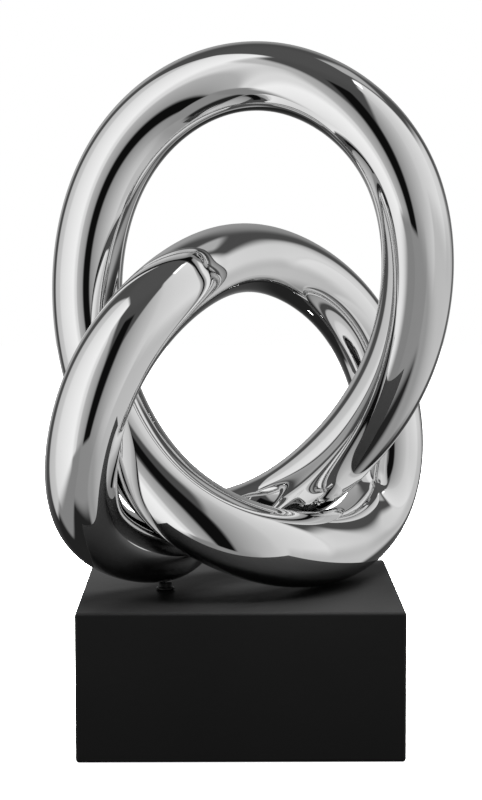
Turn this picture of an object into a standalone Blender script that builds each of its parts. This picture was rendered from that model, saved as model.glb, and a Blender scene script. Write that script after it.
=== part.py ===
# A round bar bent into a closed three-crossing knot, standing on a square block plinth.
# Metres, +Z up, the front looks along -Y. The origin is the middle of the plinth's underside.

import math

import bmesh
import bpy

# Driving dimensions
knot_height = 0.2766           # what the path's shares are taken of, nearly the whole knot's height
plinth_width = 0.160           # along X
plinth_depth = 0.160           # along Y
plinth_height = 0.0735
plinth_edge_radius = 0.0016    # soft round on every edge of the block
stud_diameter = 0.0074         # pin between the plinth and the left lobe
stud_foot_diameter = 0.0092    # its flange on the plinth
stud_foot_thickness = 0.0012
stud_offset = 0.004            # to the right of the left lobe's lowest place
touching_gap = 0.0003          # between two pieces that rest on each other

# How fine the faceted solids are
section_steps = 12             # the bar's section has 4 + 2 x this many sides
path_steps = 8                 # along the bar, for each station
edge_steps = 4
stud_sides = 24

# The bar's radius, as a share of the knot's height
bar_share = 0.0651

# The bar's path, as shares of the knot's height. Each station pulls the line towards it, as the control
# points of a smooth closed curve do: (right of the middle, behind the middle, above the seat, thickness).
# The line makes two turns, and its front and back places alternate where it crosses itself.
path_shares = (
    # Large loop, from behind the left strand, up and over, down to the front on the right
    (-0.285, -0.06, 0.410, 0.96),
    (-0.280, -0.06, 0.700, 0.99),
    (-0.150, -0.07, 0.900, 0.98),
    (0.080, -0.12, 0.970, 0.92),
    (0.330, -0.23, 0.785, 0.97),
    (0.330, 0.01, 0.370, 1.03),
    # Arm that runs down to the left, back behind the front bar, and round it as the left lobe
    (0.070, 0.19, 0.095, 0.95),
    (-0.110, 0.05, 0.105, 0.93),
    (-0.115, -0.06, 0.060, 0.92),
    (-0.310, -0.16, 0.110, 0.97),
    # Left strand in front, up into the small loop, down to the back on the right
    (-0.260, -0.32, 0.420, 1.01),
    (-0.095, -0.18, 0.600, 0.98),
    (0.055, 0.10, 0.625, 0.97),
    (0.240, 0.23, 0.500, 0.98),
    # Right lobe, from behind the arm round to the front, then the front bar that rests on the plinth
    (0.320, 0.25, 0.245, 0.98),
    (0.265, 0.23, 0.058, 0.97),
    (0.100, -0.16, 0.068, 1.11),
    (-0.140, -0.16, 0.160, 1.04),
)


def clear_scene():
    for thing in list(bpy.data.objects):
        bpy.data.objects.remove(thing)


def finish(name, colour, roughness, metallic):
    material = bpy.data.materials.new(name)
    material.use_nodes = True
    shader = material.node_tree.nodes["Principled BSDF"]
    shader.inputs["Base Color"].default_value = (*colour, 1.0)
    shader.inputs["Roughness"].default_value = roughness
    shader.inputs["Metallic"].default_value = metallic
    return material


def add_object(name, data, material):
    data.materials.append(material)
    thing = bpy.data.objects.new(name, data)
    bpy.context.scene.collection.objects.link(thing)
    return thing


def corners_of(thing):
    """The object's finished vertices, in the world."""
    bpy.context.view_layer.update()
    finished = thing.evaluated_get(bpy.context.evaluated_depsgraph_get())
    mesh = finished.to_mesh()
    places = [finished.matrix_world @ vertex.co for vertex in mesh.vertices]
    finished.to_mesh_clear()
    return places


def make_plinth(material):
    bm = bmesh.new()
    bmesh.ops.create_cube(bm, size=1.0)
    bmesh.ops.scale(bm, vec=(plinth_width, plinth_depth, plinth_height), verts=bm.verts)
    bmesh.ops.translate(bm, vec=(0.0, 0.0, plinth_height / 2), verts=bm.verts)
    bmesh.ops.bevel(
        bm, geom=bm.edges, offset=plinth_edge_radius, offset_type="OFFSET",
        affect="EDGES", segments=edge_steps, profile=0.5,
    )
    mesh = bpy.data.meshes.new("plinth")
    bm.to_mesh(mesh)
    bm.free()
    mesh.shade_smooth()
    mesh.set_sharp_from_angle(angle=math.radians(35))
    return add_object("plinth", mesh, material)


def make_knot(material):
    """The bar along its path, lifted until its lowest point stands on the plinth."""
    path = bpy.data.curves.new("knot", "CURVE")
    path.dimensions = "3D"
    path.bevel_depth = bar_share * knot_height
    path.bevel_resolution = section_steps
    path.resolution_u = path_steps
    line = path.splines.new("NURBS")
    line.points.add(len(path_shares) - 1)
    for point, (right, behind, above, thickness) in zip(line.points, path_shares):
        point.co = (right * knot_height, behind * knot_height, above * knot_height, 1.0)
        point.radius = thickness
    line.order_u = 4
    line.use_cyclic_u = True
    line.use_smooth = True
    knot = add_object("knot", path, material)
    lowest = min(place.z for place in corners_of(knot))
    knot.location.z = plinth_height + touching_gap - lowest
    return knot


def make_foot_stud(knot, material):
    """A turned pin beside the lowest place of the left lobe, with a flange on the plinth."""
    front_bar_side = -0.1 * knot_height
    left_lobe = [place for place in corners_of(knot) if place.x < front_bar_side]
    underside = min(left_lobe, key=lambda place: place.z)
    foot = plinth_height + touching_gap
    top = underside.z - touching_gap
    outline = (
        (0.0, foot),
        (stud_foot_diameter / 2, foot),
        (stud_foot_diameter / 2, foot + stud_foot_thickness),
        (stud_diameter / 2, foot + stud_foot_thickness),
        (stud_diameter / 2, top),
        (0.0, top),
    )
    bm = bmesh.new()
    corners = [bm.verts.new((radius, 0.0, height)) for radius, height in outline]
    edges = [bm.edges.new(pair) for pair in zip(corners, corners[1:])]
    bmesh.ops.spin(
        bm, geom=corners + edges, cent=(0, 0, 0), axis=(0, 0, 1),
        angle=math.tau, steps=stud_sides, use_merge=True,
    )
    bmesh.ops.remove_doubles(bm, verts=bm.verts, dist=1e-6)
    bmesh.ops.recalc_face_normals(bm, faces=bm.faces)
    mesh = bpy.data.meshes.new("foot_stud")
    bm.to_mesh(mesh)
    bm.free()
    mesh.shade_smooth()
    mesh.set_sharp_from_angle(angle=math.radians(35))
    stud = add_object("foot_stud", mesh, material)
    stud.location = (underside.x + stud_offset, underside.y, 0.0)
    return stud


clear_scene()
chrome = finish("mirror_chrome", (0.86, 0.86, 0.87), 0.03, 1.0)
matt_black = finish("matt_black", (0.012, 0.012, 0.012), 0.55, 0.0)
dark_steel = finish("dark_steel", (0.03, 0.03, 0.03), 0.4, 0.6)
make_plinth(matt_black)
knot = make_knot(chrome)
make_foot_stud(knot, dark_steel)
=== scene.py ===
import math

import bmesh
import bpy
from mathutils import Matrix, Vector


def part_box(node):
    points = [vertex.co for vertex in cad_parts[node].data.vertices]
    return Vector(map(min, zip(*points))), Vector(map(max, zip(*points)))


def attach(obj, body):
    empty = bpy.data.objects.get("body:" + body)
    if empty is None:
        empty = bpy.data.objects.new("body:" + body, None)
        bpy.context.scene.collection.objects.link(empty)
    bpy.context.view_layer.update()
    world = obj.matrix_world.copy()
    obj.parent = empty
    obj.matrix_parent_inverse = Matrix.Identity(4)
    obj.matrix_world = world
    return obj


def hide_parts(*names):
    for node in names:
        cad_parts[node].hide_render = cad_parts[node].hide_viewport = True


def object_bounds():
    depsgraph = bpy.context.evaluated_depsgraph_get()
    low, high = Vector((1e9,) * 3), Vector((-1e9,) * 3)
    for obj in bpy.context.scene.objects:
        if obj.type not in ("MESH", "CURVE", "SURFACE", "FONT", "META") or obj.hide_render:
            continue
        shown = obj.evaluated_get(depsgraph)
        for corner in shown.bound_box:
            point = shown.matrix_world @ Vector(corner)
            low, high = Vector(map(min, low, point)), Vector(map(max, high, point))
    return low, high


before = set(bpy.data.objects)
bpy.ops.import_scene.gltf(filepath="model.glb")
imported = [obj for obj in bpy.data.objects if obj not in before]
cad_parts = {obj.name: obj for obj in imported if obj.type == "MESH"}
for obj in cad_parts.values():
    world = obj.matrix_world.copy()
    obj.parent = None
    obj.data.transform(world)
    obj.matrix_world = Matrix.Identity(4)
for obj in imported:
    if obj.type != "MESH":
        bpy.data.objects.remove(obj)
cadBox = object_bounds()
print("Frame loaded")


def addObject(name, data):
    made = bpy.data.objects.new(name, data)
    bpy.context.scene.collection.objects.link(made)
    return made


def meshOf(bm, name):
    mesh = bpy.data.meshes.new(name)
    bm.to_mesh(mesh)
    bm.free()
    return mesh


# Camera: over a metre in front of the block, a little above the knot's middle, looking slightly down
cameraLook = {
    "place": (-0.00592, -1.15392, 0.27248),
    "pitch": 5.12,      # degrees downwards
    "yaw": 0.33,        # degrees to the right
    "roll": -0.08,
    "lens": 101.75,
    "clip": (0.05, 50.0),
}


def makeCamera():
    look = cameraLook
    data = bpy.data.cameras.new("Camera")
    data.lens = look["lens"]
    data.clip_start, data.clip_end = look["clip"]
    camera = addObject("Camera", data)
    pitch, yaw, roll = (math.radians(look[turn]) for turn in ("pitch", "yaw", "roll"))
    turn = Matrix.Rotation(-yaw, 4, "Z") @ Matrix.Rotation(math.pi / 2 - pitch, 4, "X")
    camera.matrix_world = Matrix.Translation(look["place"]) @ turn @ Matrix.Rotation(roll, 4, "Z")
    bpy.context.scene.camera = camera


makeCamera()
print("Camera made")


# A shader socket that can stand in a sum: each operator adds its own Math node
class Wire:
    def __init__(self, tree, socket=None):
        self.tree = tree
        self.socket = socket

    def node(self, kind, settings=None, inputs=None, output=0):
        made = self.tree.nodes.new(kind)
        for name, value in (settings or {}).items():
            setattr(made, name, value)
        for name, value in (inputs or {}).items():
            self.feed(made.inputs[name], value)
        return Wire(self.tree, made.outputs[output])

    def feed(self, socket, value):
        if isinstance(value, Wire):
            self.tree.links.new(value.socket, socket)
        else:
            socket.default_value = value

    def maths(self, operation, *values):
        return self.node("ShaderNodeMath", {"operation": operation}, dict(enumerate(values)))

    def __add__(self, other):
        return self.maths("ADD", self, other)

    def __radd__(self, other):
        return self.maths("ADD", other, self)

    def __sub__(self, other):
        return self.maths("SUBTRACT", self, other)

    def __rsub__(self, other):
        return self.maths("SUBTRACT", other, self)

    def __mul__(self, other):
        return self.maths("MULTIPLY", self, other)

    def __rmul__(self, other):
        return self.maths("MULTIPLY", other, self)

    def __truediv__(self, other):
        return self.maths("DIVIDE", self, other)

    def __rtruediv__(self, other):
        return self.maths("DIVIDE", other, self)

    def dot(self, way):
        return self.node("ShaderNodeVectorMath", {"operation": "DOT_PRODUCT"}, {0: self, 1: way}, "Value")

    def rise(self, low, high):      # 0 below low, 1 above high, smooth between
        ends = {"Value": self, "From Min": low, "From Max": high}
        return self.node("ShaderNodeMapRange", {"interpolation_type": "SMOOTHSTEP"}, ends, "Result")

    def ramp(self, low, high):      # the same with a straight line between
        ends = {"Value": self, "From Min": low, "From Max": high}
        return self.node("ShaderNodeMapRange", {"clamp": True}, ends, "Result")

    def blend(self, other, share):      # self where share is 0, other where it is 1
        return self + (other - self) * share


def between(ends, share):       # the first end where share is 0, the second where it is 1
    low, high = ends
    return low + (high - low) * share


# Studio: soft boxes, walls and dark gaps, so far off that direction alone places them.
# Directions are degrees round from the camera's side, towards the right, and degrees above level.
# A glow is how bright a mirror shows the place, where 1 is white.
studioLook = {
    "mirrorShare": 0.90,        # what the chrome gives back
    "ceiling": 0.30,
    "walls": 0.28,
    "ground": 0.13,
    "groundTop": (-40, -14),    # where the dark ground turns to wall
    "ceilingLow": (55, 75),     # where the wall turns to ceiling
    "sideFade": 0.05,           # a card shows in full where the cosine to the way it faces is above this
    "topSoft": 2,               # a card's upper edge fades this many times as wide as its sides
}

# Each card is flat and square on to the way it faces. Its glow runs from the first value at its left edge to
# the second at its right. soft is how wide its edges fade, footSoft the same at its foot; lean tilts its top.
studioCards = (
    {"name": "backdrop", "facing": 180, "left": 152, "right": 216, "low": -13, "high": 42,
     "glow": (0.48, 0.66), "soft": 0.20},
    {"name": "frontGround", "facing": 5, "left": -76, "right": 78, "low": -68, "high": -10,
     "glow": (0.48, 0.55), "soft": 0.20, "footSoft": 0.40},
    {"name": "leftGround", "facing": -70, "left": -112, "right": -15, "low": -66, "high": -30,
     "glow": (0.50, 0.50), "soft": 0.20},
    {"name": "rightGround", "facing": 85, "left": 36, "right": 132, "low": -68, "high": -40,
     "glow": (0.58, 0.56), "soft": 0.20, "footSoft": 0.50},
    {"name": "leftWing", "facing": -90, "left": -123, "right": -92, "low": -40, "high": 67, "lean": 1.8,
     "glow": (0.72, 0.77), "soft": 0.08},
    {"name": "leftFill", "facing": -27, "left": -40, "right": -10, "low": -40, "high": 45, "lean": -2.5,
     "glow": (0.74, 0.55), "soft": 0.09},
    {"name": "leftStep", "facing": -40, "left": -50, "right": -31, "low": -40, "high": 45, "lean": -2.0,
     "glow": (0.86, 0.84), "soft": 0.05},
    {"name": "leftKey", "facing": -66, "left": -97, "right": -40, "low": -46, "high": 69,
     "glow": (0.84, 0.94), "soft": 0.10, "footSoft": 0.20},
    {"name": "rightLower", "facing": 85, "left": 36, "right": 142, "low": -50, "high": 0,
     "glow": (0.70, 0.75), "soft": 0.25, "footSoft": 0.45},
    {"name": "rightFill", "facing": 40, "left": 10, "right": 64, "low": -40, "high": 55, "lean": 1.7,
     "glow": (0.52, 0.80), "soft": 0.07, "footSoft": 0.45},
    {"name": "rightKey", "facing": 85, "left": 52, "right": 107, "low": -12, "high": 67,
     "glow": (0.77, 0.87), "soft": 0.10, "footSoft": 0.24},
    {"name": "rightWing", "facing": 115, "left": 104, "right": 131, "low": -8, "high": 28,
     "glow": (0.83, 0.78), "soft": 0.08, "footSoft": 0.20},
    {"name": "rightTop", "facing": 133, "left": 116, "right": 150, "low": 48, "high": 70,
     "glow": (0.66, 0.66), "soft": 0.12},
    {"name": "highGlint", "facing": 88, "left": 75, "right": 99, "low": 63.8, "high": 68.2,
     "glow": (1.15, 1.15), "soft": 0.03},
    {"name": "cameraGap", "facing": 0, "left": -10.5, "right": 9.5, "low": -42, "high": 50,
     "glow": (0.05, 0.05), "soft": 0.05},
)


def lightOf(shown):     # the light that the chrome shows with this brightness: the screen's curve undone
    linear = shown / 12.92 if shown <= 0.04045 else ((shown + 0.055) / 1.055) ** 2.4
    return linear / studioLook["mirrorShare"]


def slope(degrees):
    return math.tan(math.radians(degrees))


def cardMask(way, card):        # the card's share of this direction, and how far across the card it lies
    facing = math.radians(card["facing"])
    ahead = way.dot((math.sin(facing), -math.cos(facing), 0.0))
    across = way.dot((math.cos(facing), math.sin(facing), 0.0)) / ahead
    above = way.dot((0.0, 0.0, 1.0)) / ahead
    left, right = (slope(card[edge] - card["facing"]) for edge in ("left", "right"))
    low, high = slope(card["low"]), slope(card["high"])
    soft = card["soft"]
    foot = card.get("footSoft", soft)
    top = studioLook["topSoft"] * soft
    under = above - across * card.get("lean", 0.0)
    inside = across.rise(left - soft, left + soft) * (1 - across.rise(right - soft, right + soft))
    inside = inside * above.rise(low - foot, low + foot) * (1 - under.rise(high - top, high + top))
    return inside * ahead.rise(0.0, studioLook["sideFade"]), across.ramp(left, right)


def makeStudio():
    look = studioLook
    world = bpy.data.worlds.new("studio")
    world.use_nodes = True
    tree = world.node_tree
    tree.nodes.clear()
    start = Wire(tree)
    way = start.node("ShaderNodeTexCoord", output="Generated")
    height = way.dot((0.0, 0.0, 1.0))
    glow = start.node("ShaderNodeValue")
    glow.socket.default_value = lightOf(look["ground"])
    for turn, above in (("groundTop", "walls"), ("ceilingLow", "ceiling")):
        low, top = (math.sin(math.radians(angle)) for angle in look[turn])
        glow = glow.blend(lightOf(look[above]), height.rise(low, top))
    for card in studioCards:
        share, along = cardMask(way, card)
        glow = glow.blend(between([lightOf(shown) for shown in card["glow"]], along), share)
    lit = start.node("ShaderNodeBackground", None, {"Color": glow})
    white = start.node("ShaderNodeBackground", None, {"Color": (1.0, 1.0, 1.0, 1.0)})
    seen = start.node("ShaderNodeLightPath", output="Is Camera Ray")
    mixed = start.node("ShaderNodeMixShader", None, {0: seen, 1: lit, 2: white})
    out = tree.nodes.new("ShaderNodeOutputWorld")
    tree.links.new(mixed.socket, out.inputs["Surface"])
    bpy.context.scene.world = world
    bpy.context.scene.view_settings.view_transform = "Standard"


makeStudio()
print("Studio made")


# plain holds one value for each socket; varying is a function that gives what changes over the surface
def newMaterial(name, plain, varying):
    material = bpy.data.materials.new(name)
    material.use_nodes = True
    shader = material.node_tree.nodes["Principled BSDF"]
    start = Wire(material.node_tree)
    place = start.node("ShaderNodeTexCoord", output="Object")
    for socket, value in (plain | varying(place)).items():
        start.feed(shader.inputs[socket], value)
    return material


def noise(place, scale, detail=2.0, roughness=0.5):
    settings = {"Vector": place, "Scale": scale, "Detail": detail, "Roughness": roughness}
    return place.node("ShaderNodeTexNoise", None, settings, "Fac")


def bumpOf(height, depth):
    return height.node("ShaderNodeBump", None, {"Height": height, "Distance": depth, "Strength": 1.0})


def greyOf(value):      # a value as a colour of equal parts
    return value.node("ShaderNodeCombineColor", None, {"Red": value, "Green": value, "Blue": value})


# A level sheet that glows white, its grey a little uneven
def makeSheet(name, look, size, height):
    bm = bmesh.new()
    bmesh.ops.create_grid(bm, x_segments=1, y_segments=1, size=0.5)
    bmesh.ops.scale(bm, verts=bm.verts, vec=(*size, 1.0))
    bmesh.ops.translate(bm, verts=bm.verts, vec=(*look["place"], cadBox[0][2] + height))
    sheet = addObject(name, meshOf(bm, name))
    plain = {
        "Emission Color": (1.0, 1.0, 1.0, 1.0), "Emission Strength": look["glow"],
        "Roughness": look["roughness"],
    }

    def unevenGrey(place):
        return {"Base Color": greyOf(between(look["grey"], noise(place, look["grain"])))}

    sheet.data.materials.append(newMaterial(name, plain, unevenGrey))
    return sheet


# Floor: bright enough to fade into the white behind it
floorLook = {
    "place": (0.0, 0.0), "size": 6.0, "below": 0.0004,
    "glow": 1.0, "grey": (0.88, 0.90), "grain": 30.0, "roughness": 0.9,
}


def makeFloor():
    floor = makeSheet("paleFloor", floorLook, (floorLook["size"], floorLook["size"]), -floorLook["below"])
    floor.visible_glossy = False        # the chrome shows the studio's own ground
    floor.visible_diffuse = False       # and the floor's glow doesn't light the block


makeFloor()
print("Floor made")


# Patch: a white place on the ground behind the block, that the loops' undersides mirror as small glints
patchLook = {
    "place": (-0.009, 0.169), "size": (0.016, 0.009), "above": 0.0010,
    "glow": 1.3, "grey": (0.85, 0.90), "grain": 60.0, "roughness": 0.5,
}


def makePatch():
    patch = makeSheet("whitePatch", patchLook, patchLook["size"], patchLook["above"])
    patch.visible_camera = False


makePatch()
print("Patch made")


# Top light: a broad soft light overhead, for the block; the chrome doesn't mirror it
topLight = {"size": 0.9, "height": 1.15, "behind": 0.05, "power": 125.0}


def makeTopLight():
    data = bpy.data.lights.new("topLight", "AREA")
    data.shape = "SQUARE"
    data.size = topLight["size"]
    data.energy = topLight["power"]
    light = addObject("topLight", data)
    light.location = (0.0, topLight["behind"], topLight["height"])
    light.visible_glossy = False
    light.visible_camera = False


makeTopLight()
print("Top light made")


# Knot: a round bar along a closed smooth path, a bright plate with the faint waves and wipe marks that
# hand polishing leaves
knotLook = {
    "height": 0.2766,       # what the path's shares are taken of
    "barShare": 0.0651,     # the bar's radius, as a share of the height
    "sectionSteps": 46,
    "pathSteps": 40,
    # stations as shares of the height: right, behind, above, and the bar's thickness
    "path": (
        (-0.285, -0.06, 0.410, 0.96),       # large loop: up, over, and down to the front on the right
        (-0.280, -0.06, 0.700, 0.99),
        (-0.150, -0.07, 0.900, 0.98),
        (0.080, -0.12, 0.970, 0.92),
        (0.330, -0.23, 0.785, 0.97),
        (0.330, 0.01, 0.370, 1.03),
        (0.070, 0.19, 0.095, 0.95),         # arm: back behind the front bar, then round the left lobe
        (-0.110, 0.05, 0.105, 0.93),
        (-0.115, -0.06, 0.060, 0.92),
        (-0.310, -0.16, 0.110, 0.97),
        (-0.260, -0.32, 0.420, 1.01),       # left strand, small loop, and down to the back
        (-0.095, -0.18, 0.600, 0.98),
        (0.055, 0.10, 0.625, 0.97),
        (0.240, 0.23, 0.500, 0.98),
        (0.320, 0.25, 0.245, 0.98),         # right lobe, then the front bar
        (0.265, 0.23, 0.058, 0.97),
        (0.100, -0.16, 0.068, 1.11),
        (-0.140, -0.16, 0.160, 1.04),
    ),
    "grey": (0.885, 0.915),
    "wave": (26.0, 1.0),            # scale in waves for each metre, and detail
    "waveDepth": 0.00002,
    "haze": (90.0, 4.0, 0.6),       # scale, detail and roughness of the wipe marks
    "hazeSeen": (0.45, 0.75),       # noise where a mark starts, and where it is full
    "roughness": (0.012, 0.040),    # clear, hazy
}


def chromeSurface(place):
    look = knotLook
    haze = noise(place, *look["haze"])
    return {
        "Base Color": greyOf(between(look["grey"], haze)),
        "Roughness": between(look["roughness"], haze.rise(*look["hazeSeen"])),
        "Normal": bumpOf(noise(place, *look["wave"]), look["waveDepth"]),
    }


def makeKnot():
    look = knotLook
    curve = bpy.data.curves.new("knotPath", "CURVE")
    curve.dimensions = "3D"
    curve.bevel_depth = look["barShare"] * look["height"]
    curve.bevel_resolution = look["sectionSteps"]
    curve.resolution_u = look["pathSteps"]
    line = curve.splines.new("NURBS")
    line.points.add(len(look["path"]) - 1)
    for point, (right, behind, above, thickness) in zip(line.points, look["path"]):
        point.co = (*(Vector((right, behind, above)) * look["height"]), 1.0)
        point.radius = thickness
    line.order_u = 4
    line.use_cyclic_u = True
    source = addObject("knotPath", curve)
    bpy.context.view_layer.update()
    mesh = bpy.data.meshes.new_from_object(source)
    bpy.data.objects.remove(source)
    lowest = min(vertex.co.z for vertex in mesh.vertices)
    mesh.transform(Matrix.Translation((0, 0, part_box("knot")[0].z - lowest)))
    mesh.shade_smooth()
    mesh.materials.append(newMaterial("mirrorChrome", {"Metallic": 1.0}, chromeSurface))
    knot = addObject("polishedKnot", mesh)
    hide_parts("knot")
    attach(knot, "root")


makeKnot()
print("Knot made")


# Plinth: a square block with soft edges, in black lacquer with a fine grain, less matt in broad patches
plinthLook = {
    "edgeRadius": 0.0016,
    "edgeSteps": 10,
    "grey": (0.00697, 0.00943),
    "roughness": (0.44, 0.54),
    "specular": 0.09,           # low, so that the top stays dark at a glancing angle
    "patch": (14.0, 3.0),       # scale and detail, as for the next two
    "grain": (1400.0, 2.0),
    "peel": (260.0, 1.0),
    "grainDepth": 0.00002,      # metres
    "peelDepth": 0.00003,
    "patchShare": 0.6,          # what the patches do to the roughness; the grain does the rest
}


def lacquerSurface(place):
    look = plinthLook
    grain = noise(place, *look["grain"])
    peel = noise(place, *look["peel"])
    patch = noise(place, *look["patch"])
    share = look["patchShare"]
    return {
        "Base Color": greyOf(between(look["grey"], patch)),
        "Roughness": between(look["roughness"], share * patch + (1 - share) * grain),
        "Normal": bumpOf(grain * look["grainDepth"] + peel * look["peelDepth"], 1.0),
    }


def makePlinth():
    look = plinthLook
    low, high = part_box("plinth")
    bm = bmesh.new()
    bmesh.ops.create_cube(bm, size=1.0)
    bmesh.ops.scale(bm, verts=bm.verts, vec=high - low)
    bmesh.ops.translate(bm, verts=bm.verts, vec=(low + high) / 2)
    bmesh.ops.bevel(
        bm, geom=bm.edges, offset=look["edgeRadius"], offset_type="OFFSET", affect="EDGES",
        segments=look["edgeSteps"], profile=0.5, material=-1,
    )
    mesh = meshOf(bm, "blackPlinth")
    mesh.shade_smooth()
    plain = {"Specular IOR Level": look["specular"]}
    mesh.materials.append(newMaterial("mattBlack", plain, lacquerSurface))
    plinth = addObject("blackPlinth", mesh)
    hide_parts("plinth")
    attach(plinth, "root")


makePlinth()
print("Plinth made")


# Stud: the turned pin between the block and the left lobe, dark steel with fine turning rings
studLook = {
    "flangeHeight": 0.0012,
    "flangeRound": 0.0004,
    "roundMiddle": 0.3,     # how far in a rounding's middle lies, as a share of it
    "neckShare": 0.80,      # the pin's diameter, as a share of the flange's
    "topRound": 0.0003,
    "sides": 96,
    "sharpOver": 50,        # degrees
    "grey": (0.02, 0.04),
    "metallic": 0.7,
    "roughness": (0.25, 0.45),
    "ringScale": (60.0, 60.0, 4000.0),
    "ringDepth": 0.00002,
}


def steelSurface(place):
    look = studLook
    stretched = place.node("ShaderNodeMapping", None, {"Vector": place, "Scale": look["ringScale"]})
    rings = noise(stretched, 1.0)
    return {
        "Base Color": greyOf(between(look["grey"], rings)),
        "Roughness": between(look["roughness"], rings),
        "Normal": bumpOf(rings, look["ringDepth"]),
    }


def makeStud():
    look = studLook
    low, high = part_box("foot_stud")
    middle = (low + high) / 2
    flange = (high.x - low.x) / 2
    pin = flange * look["neckShare"]
    shoulder, rounding = low.z + look["flangeHeight"], look["flangeRound"]
    tuck = rounding * look["roundMiddle"]
    outline = (
        (0.0, low.z), (flange - rounding / 2, low.z), (flange, low.z + rounding / 2),
        (flange, shoulder - rounding), (flange - tuck, shoulder - tuck), (flange - rounding, shoulder),
        (pin + rounding, shoulder), (pin, shoulder + rounding),
        (pin, high.z - look["topRound"]), (pin - look["topRound"], high.z), (0.0, high.z),
    )
    bm = bmesh.new()
    corners = [bm.verts.new((radius, 0.0, height)) for radius, height in outline]
    edges = [bm.edges.new(pair) for pair in zip(corners, corners[1:])]
    bmesh.ops.spin(
        bm, geom=corners + edges, cent=(0, 0, 0), axis=(0, 0, 1), angle=math.tau,
        steps=look["sides"], use_merge=True,
    )
    bmesh.ops.remove_doubles(bm, verts=bm.verts, dist=1e-6)
    bmesh.ops.recalc_face_normals(bm, faces=bm.faces)
    bmesh.ops.translate(bm, verts=bm.verts, vec=(middle.x, middle.y, 0.0))
    mesh = meshOf(bm, "darkStud")
    mesh.shade_smooth()
    mesh.set_sharp_from_angle(angle=math.radians(look["sharpOver"]))
    mesh.materials.append(newMaterial("darkSteel", {"Metallic": look["metallic"]}, steelSurface))
    stud = addObject("darkStud", mesh)
    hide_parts("foot_stud")
    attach(stud, "root")


makeStud()
print("Stud made")
